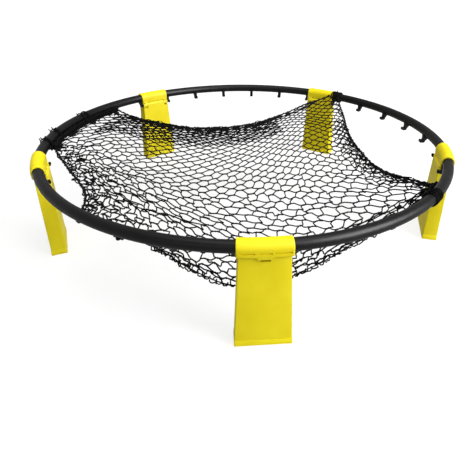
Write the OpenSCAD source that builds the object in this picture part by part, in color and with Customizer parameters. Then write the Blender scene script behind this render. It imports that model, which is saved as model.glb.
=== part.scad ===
// Round net set: a tube hoop in five segments on five folding legs, with a knotted net
// that is hooked on only part of the way round, so that its front side hangs slack.
// Frame: +Z up, floor at z = 0, the hoop's axis is the Z axis, leg 1 stands at -Y.
// Angles run from leg 1, anticlockwise seen from above. "rho" is the distance from the axis.

/* [Hoop] */
// Outside diameter of the hoop
hoop_d = 914; // [860:1:960]
// Outside diameter of the tube
tube_d = 21; // [19:0.5:23]
// Wall of the tube
tube_wall = 2.5; // [2:0.1:3]
// Height of the tube's centre line above the floor
hoop_z = 188; // [160:1:220]
// Length of the spigot that plugs each segment into the next
spigot_len = 24; // [18:1:25]
// Wall of the spigot
spigot_wall = 2.2; // [1.6:0.1:2.6]
// Gap round the spigot in its socket
spigot_clear = 0.2; // [0.1:0.05:0.3]
// Gap between the end faces of two segments
butt_gap = 0.3; // [0.2:0.1:0.6]

/* [Hooks] */
// Hooks on each segment
hooks_per_segment = 6; // [4:1:6]
// Width of a hook along the tube
hook_w = 8.5; // [5:0.5:9]
// Width of the hooks that stand beside a collar
end_hook_w = 5.2; // [4:0.1:5.4]
// Thickness of the stem and of the toe, seen from the side
hook_t = 6; // [4.5:0.1:6.2]
// How far the hook hangs below the tube's centre line
hook_drop = 23.5; // [23:0.1:27]
// How far the toe reaches inwards from the stem
hook_toe = 7; // [5:0.5:8]
// Height of the toe's turned-up tip
hook_tip = 1.5; // [0.5:0.5:3]

/* [Collar] */
// Width of the collar along the tube
collar_w = 86; // [84:0.5:87]
// Wall of the collar outside the tube
collar_wall = 2.6; // [2.4:0.1:4]
// Bevel on the edges at the collar's ends
collar_bevel = 1.2; // [0.6:0.1:2]
// Gap between the collar's bore and the tube
collar_fit = 0.15; // [0.1:0.05:0.3]
// How far the collar's skirt reaches below the tube's centre line
seam_drop = 12; // [11.8:0.1:14]
// Depth of the neck below the skirt, inside the leg
neck_h = 8.3; // [7.5:0.1:9]
// Width of each hinge lug
lug_w = 9; // [7:0.5:10]
// Width of the latch tongue
tongue_w = 24; // [18:1:30]
// Length of the latch tongue below the skirt
tongue_len = 8.3; // [6:0.1:9]
// Thickness of the latch tongue
tongue_t = 1.7; // [1.4:0.1:1.8]
// Radius on the latch tongue's lower corners
tongue_round = 3; // [1:0.5:5]

/* [Leg] */
// Width of the leg at its top
leg_w_top = 79; // [76:0.5:80]
// Width of the leg at the floor
leg_w_foot = 97; // [88:0.5:104]
// Depth of the leg at its top
leg_d_top = 25.7; // [25.2:0.1:25.9]
// Depth of the leg at the floor
leg_d_foot = 31.5; // [28:0.5:36]
// How far the leg's inner face stands inside the tube's centre line at the top
leg_inset = 16.5; // [16.2:0.1:17]
// How far the foot's outer face stands outside the tube's centre line
foot_outset = 17.6; // [14:0.1:21]
// Wall of the leg
leg_wall = 2.5; // [2:0.1:2.6]
// Radius on the leg's long edges
leg_round = 2.4; // [1.5:0.1:3]
// Radius of the rolled edge round the hinge pin
knuckle_r = 7.5; // [7:0.1:8]
// Running gap between the leg and the collar
leg_gap = 0.3; // [0.25:0.05:0.5]
// Width of the release slot in the leg's outer face
slot_w = 17; // [12:1:24]
// Height of the release slot
slot_h = 2.6; // [2:0.1:4]

/* [Fasteners] */
// Diameter of the hinge pin
pin_d = 4; // [3:0.5:5]
// Radial clearance between the pin and the leg
pin_clear = 0.06; // [0.03:0.01:0.09]
// How far the pin's ends lie below the leg's side faces
pin_recess = 0.3; // [0:0.1:0.8]
// Diameter of the collar screw's shank
screw_d = 3.2; // [2.5:0.1:3.5]
// Diameter of the collar screw's head
screw_head_d = 6.4; // [5:0.1:6.8]
// Thickness of the collar screw's head
screw_head_h = 2; // [1.5:0.1:2.5]
// Distance of the screw from the middle of the collar
screw_x = 31.5; // [30:0.5:32]

/* [Net] */
// Cells along each side of the net, counting by half cells
net_cells = 22; // [12:2:22]
// Width of the net's cord
net_cord = 2.2; // [1.6:0.1:3]
// Diameter of the border cord
border_d = 3.5; // [3:0.1:3.8]
// How far the middle of the net sags below its edges
net_sag = 14; // [5:1:18]

/* [Hidden] */

legs = 5;
step = 360 / legs;
hook_pitch = step / hooks_per_segment;
tube_r = tube_d / 2;
bore_r = tube_r - tube_wall;
hoop_r = hoop_d / 2 - tube_r;
spigot_r = bore_r - spigot_clear;
// A cut runs this far past the face that it opens.
past = 1;
// Gap round a pin or a screw in the piece that holds it.
pin_hold = 0.02;
screw_fit = 0.1;
head_fit = 0.15;
deg_per_mm = 180 / (PI * hoop_r);

// The collar follows the hoop's curve and covers it up to this angle on both sides.
collar_r = tube_r + collar_wall;
collar_out = hoop_r + collar_r;
collar_deg = asin(collar_w / 2 / collar_out);
// The tongue's face lies this far below the skirt's.
tongue_set = 0.4;
tongue_out = collar_out - tongue_set;

seam_z = hoop_z - seam_drop;
leg_top = seam_z - leg_gap;
leg_in_top = hoop_r - leg_inset;
leg_out_top = leg_in_top + leg_d_top;
leg_out_foot = hoop_r + foot_outset;
leg_in_foot = leg_out_foot - leg_d_foot;
pivot_rho = leg_in_top + knuckle_r;
pivot_z = leg_top - knuckle_r;
// The neck clears the leg's outer wall as it swings.
neck_out = leg_out_top - leg_wall - 0.6;
neck_in = pivot_rho + knuckle_r + leg_gap;
neck_half = leg_w_top / 2 - leg_wall - 0.5;
lug_in = neck_half - lug_w;
lug_r = knuckle_r - leg_gap;

// Hook: its stem hangs from the tube's lower inner side.
stem_in = hoop_r - tube_r;
stem_out = stem_in + hook_t;
toe_z = hoop_z - hook_drop + hook_t / 2;

// The net's edge hangs just above the hooks' tips and just inside their stems.
cord_gap = 0.3;
rest_z = toe_z + hook_t / 2 + hook_tip + border_d / 2 + cord_gap;
edge_rho = stem_in - border_d - cord_gap;
// The border cord passes behind a stem at this distance from the axis.
stem_gap = 1.1;
loop_rho = stem_out + border_d / 2 + stem_gap;

// Angles of the hooks that hold the net.
held_left = [234, 246, 258, 270];
held_front = [318, 330];
held_right = 54;
// The net's fourth corner is wrapped round the tube beside the hook at this angle.
wrap_at = 137.3;

// Free edges of the net between the hooks that hold it, as [angle, rho, height], the last
// two in hundredths of the hoop's radius and the height from the tube's centre line.
// The net's front right corner lies on the slack front edge, where the tail begins.
edge_back = [[139.2, 95.6, 1.3], [142, 94.1, -1.3], [146.5, 81.1, -3.1], [150.5, 67.2, -4.9],
    [157, 54.9, -6.3], [166, 45.9, -7.4], [181, 40.8, -8.3], [200, 40.8, -8.5],
    [216, 45.9, -8.1], [226, 56, -6.9], [231.5, 69.4, -5.6], [234, 84, -4.3]];
edge_left = [[275, 95.2, -3.8], [283, 89.6, -4.7], [291, 85.6, -5.6], [298, 83.3, -6.3],
    [305, 84.7, -6], [311, 89.6, -4.7]];
edge_front = [[335, 94.3, -7.6], [339, 94.1, -10.3], [343, 93.6, -14.8], [348, 94.1, -18.4],
    [352.5, 94.7, -20.6], [358, 95, -21.1], [364, 94.5, -19.7], [369, 94.1, -17],
    [374, 94.3, -13.9], [379, 94.3, -10.3], [386, 94.5, -7.6]];
edge_tail = [[398, 95, -5.4], [408, 95.6, -4]];
edge_right = [[56, 90, -4], [58, 81.1, -4.9], [62, 72.1, -5.8], [69, 65.6, -6.3],
    [80, 61.4, -6.3], [94, 60, -5.6], [108, 63.8, -4.3], [121, 73.9, -2.5], [131, 86.2, 0],
    [135.2, 95, 1.8]];

// ---- helpers ----

function at(deg, rho, z) = [rho * sin(deg), -rho * cos(deg), z];
function at_edge(p) = at(p[0], p[1] * hoop_r / 100, hoop_z + p[2] * hoop_r / 100);
function leg_angle(i) = step * (i - 1);

// Places its children at a leg: +X runs along the tube, -Y points outwards.
module at_leg(i) rotate([0, 0, leg_angle(i)]) children();

// Runs a profile drawn in (rho, z) along the tube's direction, over a width.
module across(width) rotate([90, 0, -90]) linear_extrude(width, center = true) children();

// A round bar bent to the hoop, from one angle to another.
module hoop_bar(r, from, to)
    translate([0, 0, hoop_z]) rotate([0, 0, from - 90])
        rotate_extrude(angle = to - from, $fn = 128) translate([hoop_r, 0]) circle(r, $fn = 48);

// ---- hoop ----

// One hook seen from the side: a flared root, a stem and a toe with a turned-up tip.
module hook_outline() {
    toe_r = hook_t / 2;
    tip_rho = stem_in - hook_toe + toe_r;
    translate([stem_in, toe_z]) square([hook_t, hoop_z - toe_z - tube_r / 2]);
    translate([stem_in + toe_r, toe_z]) circle(toe_r, $fn = 32);
    translate([tip_rho, toe_z - toe_r]) square([stem_in + toe_r - tip_rho, hook_t]);
    translate([tip_rho, toe_z]) circle(toe_r, $fn = 32);
    translate([tip_rho - toe_r, toe_z]) square([toe_r * 1.4, toe_r + hook_tip]);
    polygon([[stem_in - 1.2, hoop_z - tube_r * 0.35], [stem_in, hoop_z - tube_r - 1],
        [stem_out, hoop_z - tube_r - 1], [stem_out + 2.4, hoop_z - tube_r * 0.8]]);
}

// A segment of the hoop: a socket at its own leg, six hooks and a spigot at the next leg.
module rim_tube(i) color("#1d1d20") at_leg(i) {
    half_gap = butt_gap / 2 * deg_per_mm;
    spigot_deg = spigot_len * deg_per_mm;
    shoulder = 2 * tube_wall * deg_per_mm;
    difference() {
        union() {
            hoop_bar(tube_r, half_gap, step - half_gap);
            hoop_bar(spigot_r, step - shoulder, step + spigot_deg);
            for (k = [0 : hooks_per_segment - 1])
                rotate([0, 0, hook_pitch * (k + 0.5)])
                    across(k == 0 || k == hooks_per_segment - 1 ? end_hook_w : hook_w)
                        hook_outline();
        }
        hoop_bar(bore_r, -past * deg_per_mm, step - shoulder);
        hoop_bar(spigot_r - spigot_wall, step - 2 * shoulder, step + spigot_deg + past * deg_per_mm);
        screw_hole(screw_d / 2 + screw_fit);
    }
}

// ---- collars ----

// A vertical hole on the collar screw's axis, up into the tube.
module screw_hole(r)
    translate([screw_x, -hoop_r, seam_z - neck_h - past])
        cylinder(r = r, h = neck_h + seam_drop + past, $fn = 32);

// The saddle's section: a half-round top over a straight skirt.
module saddle_outline() intersection() {
    union() {
        circle(collar_r, $fn = 96);
        translate([-collar_r, -seam_drop]) square([2 * collar_r, seam_drop]);
    }
    translate([-collar_r, -seam_drop]) square([2 * collar_r, seam_drop + collar_r]);
}

// The saddle follows the tube, with bevelled edges at both ends.
module saddle() difference() {
    translate([0, 0, hoop_z]) rotate([0, 0, -collar_deg - 90])
        rotate_extrude(angle = 2 * collar_deg, $fn = 128) translate([hoop_r, 0]) saddle_outline();
    for (end = [0, 1]) mirror([end, 0, 0]) end_trim();
}

// What a bevel takes off a square corner that lies at the section's outer edge.
module corner() translate([collar_r, 0])
    polygon([[-collar_bevel - past, past], [past, -collar_bevel - past], [past, past]]);

// What is trimmed from the edges at the saddle's +X end.
module end_trim() rotate([0, 0, collar_deg]) translate([0, -hoop_r, 0]) {
    translate([0, 0, hoop_z]) rotate([0, 90, 0]) rotate([0, 0, 90])
        rotate_extrude(angle = 180, $fn = 96) corner();
    translate([0, 0, seam_z - past]) linear_extrude(seam_drop + past)
        for (side = [0, 1]) mirror([0, side]) mirror([1, -1]) corner();
}

// A hinge lug seen from the side, from under the skirt down round the pin.
module lug_outline() {
    translate([pivot_rho, pivot_z]) circle(lug_r, $fn = 48);
    translate([pivot_rho - lug_r, pivot_z]) square([neck_out - pivot_rho + lug_r, seam_z - pivot_z + past]);
}

// Collar: saddle, neck inside the leg, two hinge lugs and the latch tongue on the outside.
module leg_collar(i) color("#f2e02c") at_leg(i) {
    neck_bottom = seam_z - neck_h;
    difference() {
        union() {
            saddle();
            translate([-neck_half, -neck_out, neck_bottom])
                cube([2 * neck_half, neck_out - neck_in, neck_h + past]);
            for (side = [-1, 1]) translate([side * (lug_in + lug_w / 2), 0, 0])
                across(lug_w) lug_outline();
            translate([0, -tongue_out + tongue_t, 0]) rotate([90, 0, 0])
                linear_extrude(tongue_t) tongue_outline();
        }
        hoop_bar(tube_r + collar_fit, -collar_w * deg_per_mm, collar_w * deg_per_mm);
        translate([0, -pivot_rho, pivot_z]) rotate([0, 90, 0])
            cylinder(r = pin_d / 2 + pin_hold, h = collar_w, center = true, $fn = 48);
        screw_hole(screw_d / 2 + screw_fit);
        translate([screw_x, -hoop_r, neck_bottom - past])
            cylinder(r = screw_head_d / 2 + head_fit, h = screw_head_h + past, $fn = 32);
    }
}

// The tongue's outline from the front, with rounded lower corners.
module tongue_outline() {
    r = tongue_round;
    bottom = seam_z - tongue_len;
    translate([-tongue_w / 2, bottom + r]) square([tongue_w, tongue_len - r + past]);
    translate([-tongue_w / 2 + r, bottom]) square([tongue_w - 2 * r, tongue_len]);
    for (side = [-1, 1]) translate([side * (tongue_w / 2 - r), bottom + r]) circle(r, $fn = 32);
}

// ---- legs ----

// The leg's body: a tapered block, thinner by "inset" all round, over a range of heights.
module leg_block(inset, bottom, top, r) {
    function mix(a, b, z) = a + (b - a) * (leg_top - z) / leg_top;
    hull() for (z = [bottom, top - past], side = [-1, 1]) {
        w = mix(leg_w_top, leg_w_foot, z) / 2 - inset - r;
        for (rho = [mix(leg_in_top, leg_in_foot, z) + inset + r,
                mix(leg_out_top, leg_out_foot, z) - inset - r])
            translate([side * w, -rho, z]) cylinder(r = r, h = past, $fn = 20);
    }
}

// Everything that the leg may fill: rolled at the pin, flat under the skirt.
module leg_side_outline() {
    translate([pivot_rho, pivot_z]) circle(knuckle_r, $fn = 64);
    translate([pivot_rho, -past]) square([2 * leg_d_foot, leg_top + past]);
    translate([pivot_rho - 2 * leg_d_foot, -past]) square([2 * leg_d_foot, pivot_z + past]);
}

// Leg: a tapered sleeve, open at both ends, that swings on the hinge pin.
module leg_panel(i) color("#f2dd28") at_leg(i) difference() {
    intersection() {
        leg_block(0, 0, leg_top + 2 * past, leg_round);
        across(2 * leg_w_foot) leg_side_outline();
    }
    // The hollow, rolled over the pin as the outside is.
    intersection() {
        leg_block(leg_wall, -past, leg_top + 2 * past, 1);
        across(2 * leg_w_foot) {
            translate([pivot_rho, pivot_z]) circle(knuckle_r - leg_wall, $fn = 64);
            translate([pivot_rho, -2 * past]) square([2 * leg_d_foot, leg_top + 4 * past]);
            translate([pivot_rho - 2 * leg_d_foot, -2 * past])
                square([2 * leg_d_foot, pivot_z + 2 * past]);
        }
    }
    // Room for the collar's lugs in the rolled edge.
    for (side = [-1, 1])
        translate([side * (lug_in + lug_w / 2) - lug_w / 2 - leg_gap - 0.1, -pivot_rho - 1,
            pivot_z - knuckle_r - leg_gap])
            cube([lug_w + 2 * leg_gap + 0.2, knuckle_r + leg_wall + 3, 3 * knuckle_r]);
    // Pin holes in both side walls.
    translate([0, -pivot_rho, pivot_z]) rotate([0, 90, 0])
        cylinder(r = pin_d / 2 + pin_clear, h = leg_w_foot, center = true, $fn = 48);
    // Release slot under the latch tongue.
    translate([0, -leg_out_top, seam_z - tongue_len - slot_h / 2]) rotate([90, 0, 0])
        linear_extrude(3 * leg_wall, center = true) slot_outline();
}

module slot_outline() {
    square([slot_w - slot_h, slot_h], center = true);
    for (side = [-1, 1]) translate([side * (slot_w - slot_h) / 2, 0]) circle(slot_h / 2, $fn = 32);
}

// ---- fasteners ----

module hinge_pin(i) color("#b9bcc0") at_leg(i)
    translate([0, -pivot_rho, pivot_z]) rotate([0, 90, 0])
        cylinder(d = pin_d, h = leg_w_top - 2 * pin_recess, center = true, $fn = 48);

// Pan-head screws, one up through each collar's neck into the tube's socket end.
module collar_screws() color("#8f9398") for (i = [1 : legs]) at_leg(i)
    translate([screw_x, -hoop_r, seam_z - neck_h]) {
        cylinder(d = screw_head_d, h = screw_head_h, $fn = 32);
        cylinder(d = screw_d, h = neck_h + seam_drop - tube_r + tube_wall + 1.5, $fn = 32);
    }

// ---- net ----

function catmull(a, b, c, d, t) = (2 * b + (c - a) * t + (2 * a - 5 * b + 4 * c - d) * t * t
    + (3 * b - 3 * c + d - a) * t * t * t) / 2;

// A smooth line through points, with n steps from each to the next.
function smooth(p, n) = let (last = len(p) - 1)
    [for (i = [0 : last - 1], k = [0 : n - 1])
        catmull(p[max(i - 1, 0)], p[i], p[i + 1], p[min(i + 2, last)], k / n), p[last]];

function run_lengths(p) = [for (i = 0, s = 0; i < len(p);
    s = s + (i + 1 < len(p) ? norm(p[i + 1] - p[i]) : 0), i = i + 1) s];

// Points spaced evenly along a line, n steps from end to end.
function even(p, n) = let (s = run_lengths(p), end = s[len(s) - 1])
    [for (k = [0 : n]) [for (axis = [0 : 2])
        lookup(end * k / n, [for (i = [0 : len(p) - 1]) [s[i], p[i][axis]]])]];

function held(deg) = at(deg, edge_rho, rest_z);
function edge_line(points) = [for (p = points) at_edge(p)];

corner_right = at_edge(edge_tail[0]);
corner_back = at(wrap_at - 0.4, hoop_r - tube_r, hoop_z + tube_r + border_d / 2);
corner_left = held(252);
corner_front = held(324);

// The four sides of the net, from corner to corner.
side_back = even(smooth(concat([corner_back], edge_line(edge_back),
    [held(235.5), held(240), held(246), corner_left]), 6), net_cells);
side_front = even(smooth(concat([corner_right], edge_line([for (k = [len(edge_front) - 1 : -1 : 0])
    edge_front[k]]), [held(331), corner_front]), 6), net_cells);
side_right = even(smooth(concat([corner_back], edge_line([for (k = [len(edge_right) - 1 : -1 : 0])
    edge_right[k]]), [held(held_right), at_edge(edge_tail[1]), corner_right]), 6), net_cells);
side_left = even(smooth(concat([corner_left, held(258), held(264), held(269)],
    edge_line(edge_left), [held(317), corner_front]), 6), net_cells);

// A point of the net between its four sides; the slack front drops only near its edge.
function net_point(i, j) = let (u = i / net_cells, v = j / net_cells, fall = v * v * v,
    flat = (1 - v) * side_back[i] + v * side_front[i] + (1 - u) * side_right[j]
        + u * side_left[j] - (1 - u) * (1 - v) * corner_back - u * (1 - v) * corner_left
        - (1 - u) * v * corner_right - u * v * corner_front,
    drop = side_front[i][2] - (1 - u) * corner_right[2] - u * corner_front[2])
    [flat[0], flat[1], flat[2] + (fall - v) * drop - net_sag * sin(180 * u) * sin(180 * v)];

// Knots lie where i + j is even, and a cell lies round each place where it is odd.
function knot_id(i, j) = (j * (net_cells + 1) + i);
function inside(i, j) = i >= 0 && j >= 0 && i <= net_cells && j <= net_cells;
knots = [for (j = [0 : net_cells], i = [0 : net_cells]) net_point(i, j)];
cells = [for (j = [0 : net_cells], i = [0 : net_cells]) if ((i + j) % 2 == 1)
    [for (d = [[-1, 0], [0, -1], [1, 0], [0, 1]]) if (inside(i + d[0], j + d[1]))
        knot_id(i + d[0], j + d[1])]];

function mean(p) = p * [for (k = p) 1] / len(p);
function centre(p) = [for (axis = [0 : 2]) mean([for (q = p) q[axis]])];
function off_line(c, a, b) = norm(cross(b - a, c - a)) / norm(b - a);

// The hole of a cell: its corners drawn in towards its middle by half a cord.
function hole(cell) = let (p = [for (k = cell) knots[k]], c = centre(p), n = len(p),
    reach = min([for (k = [0 : n - 1]) off_line(c, p[k], p[(k + 1) % n])]),
    share = min(net_cord / 2 / max(reach, 0.01), 0.75))
    [for (q = p) q + (c - q) * share];

module net() color("#17171a") {
    count = len(knots);
    holes = [for (c = cells) hole(c)];
    starts = [for (k = 0, s = 0; k <= len(cells); s = s + (k < len(cells) ? len(cells[k]) : 0),
        k = k + 1) s];
    total = count + starts[len(cells)];
    lift = [0, 0, net_cord / 2];
    ring_points = [for (h = holes, q = h) q];
    points = concat([for (q = knots) q + lift], [for (q = ring_points) q + lift],
        [for (q = knots) q - lift], [for (q = ring_points) q - lift]);
    faces = [for (k = [0 : len(cells) - 1]) let (c = cells[k], n = len(c), h = count + starts[k])
        for (e = [0 : n - 1]) let (a = c[e], b = c[(e + 1) % n], ha = h + e, hb = h + (e + 1) % n,
            rim = n == 3 && is_rim(a, b))
            for (f = concat([[a, hb, b], [a, ha, hb], [a + total, b + total, hb + total],
                [a + total, hb + total, ha + total], [ha, ha + total, hb + total],
                [ha, hb + total, hb]],
                rim ? [[a, b, b + total], [a, b + total, a + total]] : [])) f];
    polyhedron(points, faces);
}

// Whether the line between two knots runs along a side of the net.
function is_rim(a, b) = let (w = net_cells + 1, ia = a % w, ib = b % w,
    ja = floor(a / w), jb = floor(b / w)) ia == ib || ja == jb;

// ---- border cord ----

// The cord passes outside a hook's stem and comes back in on both sides of it.
hook_side = (hook_w / 2 + stem_gap) * deg_per_mm;
hook_turn = hook_side + 0.5;
function hook_loop(deg) = let (turn_rho = loop_rho - hook_t - border_d / 2)
    [at(deg - hook_turn, turn_rho, rest_z), at(deg - hook_side, loop_rho, rest_z),
    at(deg + hook_side, loop_rho, rest_z), at(deg + hook_turn, turn_rho, rest_z)];

// One turn round the tube, back over its top and outside to its inner side.
function tube_turn(deg, advance) = let (n = 12,
    r = (tube_r + border_d / 2 + cord_gap) / cos(180 / n))
    [for (k = [n : -1 : 0]) let (a = 45 + 360 * k / n)
        at(deg + advance * k / n, hoop_r - r * cos(a), hoop_z - r * sin(a))];

function free_run(points) = smooth(edge_line(points), 2);

// The cord takes one turn round the tube here before it runs on along the back.
turn_at = wrap_at - 0.6;
turn_advance = 0.6;
border_path = concat(tube_turn(turn_at, turn_advance), free_run(edge_back),
    [for (deg = held_left) each hook_loop(deg)], free_run(edge_left),
    [for (deg = held_front) each hook_loop(deg)], free_run(concat(edge_front, edge_tail)),
    hook_loop(held_right), free_run(edge_right));

function unit(a) = a / norm(a);
function carry(v, t) = unit(v - (v * t) * t);

// A closed round cord along a path, carried from ring to ring without twisting.
module net_border() color("#151517") {
    sides = 8;
    n = len(border_path);
    along = [for (k = [0 : n - 1]) unit(border_path[(k + 1) % n] - border_path[(k + n - 1) % n])];
    first = carry([0, 0, 1], along[0]);
    ups = [for (k = 0, v = first; k < n; v = carry(v, along[(k + 1) % n]), k = k + 1) v];
    // The twist left over after one round is spread along the cord.
    last = carry(ups[n - 1], along[0]);
    twist = atan2(cross(last, first) * along[0], last * first);
    points = [for (k = [0 : n - 1]) let (up = ups[k], side = cross(along[k], up))
        for (s = [0 : sides - 1]) let (a = 360 * s / sides + twist * k / n)
            border_path[k] + border_d / 2 * (up * cos(a) - side * sin(a))];
    faces = [for (k = [0 : n - 1], s = [0 : sides - 1]) let (k2 = (k + 1) % n, s2 = (s + 1) % sides,
        a = k * sides + s, b = k * sides + s2, c = k2 * sides + s2, d = k2 * sides + s)
        for (f = [[a, b, c], [a, c, d]]) f];
    polyhedron(points, faces);
}

rim_tube(1);  // rim_tube_1
rim_tube(2);  // rim_tube_2
rim_tube(3);  // rim_tube_3
rim_tube(4);  // rim_tube_4
rim_tube(5);  // rim_tube_5
leg_collar(1);  // leg_collar_1
leg_collar(2);  // leg_collar_2
leg_collar(3);  // leg_collar_3
leg_collar(4);  // leg_collar_4
leg_collar(5);  // leg_collar_5
leg_panel(1);  // leg_panel_1
leg_panel(2);  // leg_panel_2
leg_panel(3);  // leg_panel_3
leg_panel(4);  // leg_panel_4
leg_panel(5);  // leg_panel_5
hinge_pin(1);  // hinge_pin_1
hinge_pin(2);  // hinge_pin_2
hinge_pin(3);  // hinge_pin_3
hinge_pin(4);  // hinge_pin_4
hinge_pin(5);  // hinge_pin_5
collar_screws();
net();
net_border();
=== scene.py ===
"""Looks of a hoop net set: a tube hoop on five folding legs, with a net hooked part of the way round."""

import logging
import math
from dataclasses import dataclass
from enum import Enum

import bmesh
import bpy
import numpy as np
from mathutils import Matrix, Vector


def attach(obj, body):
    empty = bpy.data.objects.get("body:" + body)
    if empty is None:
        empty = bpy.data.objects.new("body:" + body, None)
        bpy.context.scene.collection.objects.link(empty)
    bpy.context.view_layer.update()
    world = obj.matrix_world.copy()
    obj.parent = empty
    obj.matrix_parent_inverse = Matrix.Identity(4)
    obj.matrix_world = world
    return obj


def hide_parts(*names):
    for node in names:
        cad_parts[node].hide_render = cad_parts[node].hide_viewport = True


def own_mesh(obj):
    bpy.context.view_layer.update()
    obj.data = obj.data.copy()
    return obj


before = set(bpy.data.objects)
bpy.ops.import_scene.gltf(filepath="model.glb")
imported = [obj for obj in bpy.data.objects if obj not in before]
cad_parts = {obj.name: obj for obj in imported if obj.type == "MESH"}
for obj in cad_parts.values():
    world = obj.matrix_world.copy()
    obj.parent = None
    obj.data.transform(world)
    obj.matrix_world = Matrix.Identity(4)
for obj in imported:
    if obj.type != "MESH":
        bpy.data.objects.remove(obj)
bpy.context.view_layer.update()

MM = 0.001
LEGS = 5
STEP = 360 / LEGS
CRISP_DEG = 35
SPLIT_Z = 0.1765  # the height in metres where the net climbs over the tube
LOG = logging.getLogger("hoop_net")

Point = tuple[float, float, float]
Colour = tuple[float, float, float]
Array = np.ndarray
Shape = bmesh.types.BMesh
Mesh = bpy.types.Mesh
Piece = bpy.types.Object
Material = bpy.types.Material
Socket = bpy.types.NodeSocket


# ---- places and lines ----


def at(deg: float, rho: float, z: float) -> Array:
    """Gives a point in metres.

    Args:
        deg: Angle from leg 1, anticlockwise seen from above.
        rho: Distance from the hoop's axis, in millimetres.
        z: Height above the floor, in millimetres.

    Returns:
        The point.
    """
    turn = math.radians(deg)
    return np.array([rho * math.sin(turn), -rho * math.cos(turn), z]) * MM


def smooth_line(points: Array, steps: int) -> Array:
    """Runs a smooth line through points.

    Args:
        points: The points to pass through.
        steps: How many pieces each stretch is cut into.

    Returns:
        The line's points, with the last one kept.
    """
    before = np.vstack([points[:1], points[:-1]])[:-1]
    after = np.vstack([points[2:], points[-1:]])
    start, end = points[:-1], points[1:]
    t = (np.arange(steps) / steps)[None, :, None]
    a, b, c, d = (p[:, None, :] for p in (before, start, end, after))
    line = (2 * b + (c - a) * t + (2 * a - 5 * b + 4 * c - d) * t**2 + (3 * b - 3 * c + d - a) * t**3) / 2
    return np.vstack([line.reshape(-1, 3), points[-1:]])


def line_lengths(points: Array) -> Array:
    """Gives the length along a line up to each of its points."""
    return np.concatenate([[0.0], np.cumsum(np.linalg.norm(np.diff(points, axis=0), axis=1))])


def spaced(points: Array, shares: Array) -> Array:
    """Gives the points of a line that lie at shares of its length, from 0 to 1."""
    lengths = line_lengths(points)
    return np.stack([np.interp(shares * lengths[-1], lengths, points[:, axis]) for axis in range(3)], axis=-1)


# ---- meshes ----


def add_object(name: str, data: bpy.types.ID) -> Piece:
    """Links a mesh, curve, camera or lamp to the scene as an object at the origin.

    Args:
        name: The object's name.
        data: What it shows.

    Returns:
        The object.
    """
    piece = bpy.data.objects.new(name, data)
    bpy.context.scene.collection.objects.link(piece)
    return piece


def to_mesh(shape: Shape, name: str = "part") -> Mesh:
    """Turns a bmesh into a mesh with its faces pointing outwards, and frees it.

    Args:
        shape: The bmesh.
        name: The mesh's name.

    Returns:
        The mesh.
    """
    bmesh.ops.recalc_face_normals(shape, faces=shape.faces)
    mesh = bpy.data.meshes.new(name)
    shape.to_mesh(mesh)
    shape.free()
    return mesh


def finished_mesh(piece: Piece) -> Mesh:
    """Gives the mesh of a piece as it is drawn, with its modifiers applied."""
    bpy.context.view_layer.update()
    return bpy.data.meshes.new_from_object(piece.evaluated_get(bpy.context.evaluated_depsgraph_get()))


def applied(mesh: Mesh, kind: str, **settings: object) -> Mesh:
    """Applies one modifier to a mesh.

    Args:
        mesh: The mesh, which is removed.
        kind: The modifier's type.
        settings: The modifier's settings.

    Returns:
        The new mesh.
    """
    piece = add_object("work", mesh)
    step = piece.modifiers.new(kind, kind)
    for name, value in settings.items():
        setattr(step, name, value)
    made = finished_mesh(piece)
    bpy.data.objects.remove(piece)
    bpy.data.meshes.remove(mesh)
    return made


class Joining(Enum):
    """How one solid is set against another."""

    ADD = "UNION"
    CUT = "DIFFERENCE"


def combine(body: Mesh, add: tuple[Mesh, ...] = (), cut: tuple[Mesh, ...] = ()) -> Mesh:
    """Joins solids to a solid and then cuts others from it, one after the other.

    Args:
        body: The solid's mesh.
        add: The solids that are joined to it.
        cut: The solids that are cut from it.

    Returns:
        The new solid's mesh. The meshes passed in are removed.
    """
    for joining, tools in ((Joining.ADD, add), (Joining.CUT, cut)):
        for mesh in tools:
            tool = add_object("tool", mesh)
            body = applied(body, "BOOLEAN", object=tool, operation=joining.value, solver="EXACT")
            bpy.data.objects.remove(tool)
            bpy.data.meshes.remove(mesh)
    return body


def rounded_edges(mesh: Mesh, width: float, segments: int = 2, angle_deg: float = 50) -> Mesh:
    """Rounds and shades the edges of a solid that are sharper than an angle.

    Args:
        mesh: The solid, which is removed.
        width: Width of the rounding, in metres.
        segments: Faces across the rounding.
        angle_deg: The least angle that is rounded.

    Returns:
        The rounded mesh.
    """
    made = applied(mesh, "BEVEL", width=width, segments=segments, limit_method="ANGLE",
                   angle_limit=math.radians(angle_deg), harden_normals=False)
    made.shade_smooth()
    made.set_sharp_from_angle(angle=math.radians(CRISP_DEG))
    return made


def round_off(shape: Shape, edges: list[bmesh.types.BMEdge], width: float, segments: int) -> None:
    """Rounds chosen edges of a shape to a width in millimetres."""
    bmesh.ops.bevel(shape, geom=edges, offset=width * MM, segments=segments, profile=0.5, affect="EDGES",
                    material=-1, clamp_overlap=True)


def slice_at(shape: Shape, level: float, dist: float, **settings: bool) -> list:
    """Slices a shape across at a height in metres, and gives what lies on the cut."""
    return bmesh.ops.bisect_plane(shape, geom=shape.verts[:] + shape.edges[:] + shape.faces[:], dist=dist,
                                  plane_co=(0, 0, level), plane_no=(0, 0, 1), **settings)["geom_cut"]


def verts_of(geometry: list) -> list[bmesh.types.BMVert]:
    """Picks the vertices out of an operator's result."""
    return [part for part in geometry if isinstance(part, bmesh.types.BMVert)]


def about_z(deg: float, size: int = 4) -> Matrix:
    """Gives a turn about the hoop's axis."""
    return Matrix.Rotation(math.radians(deg), size, "Z")


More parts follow.
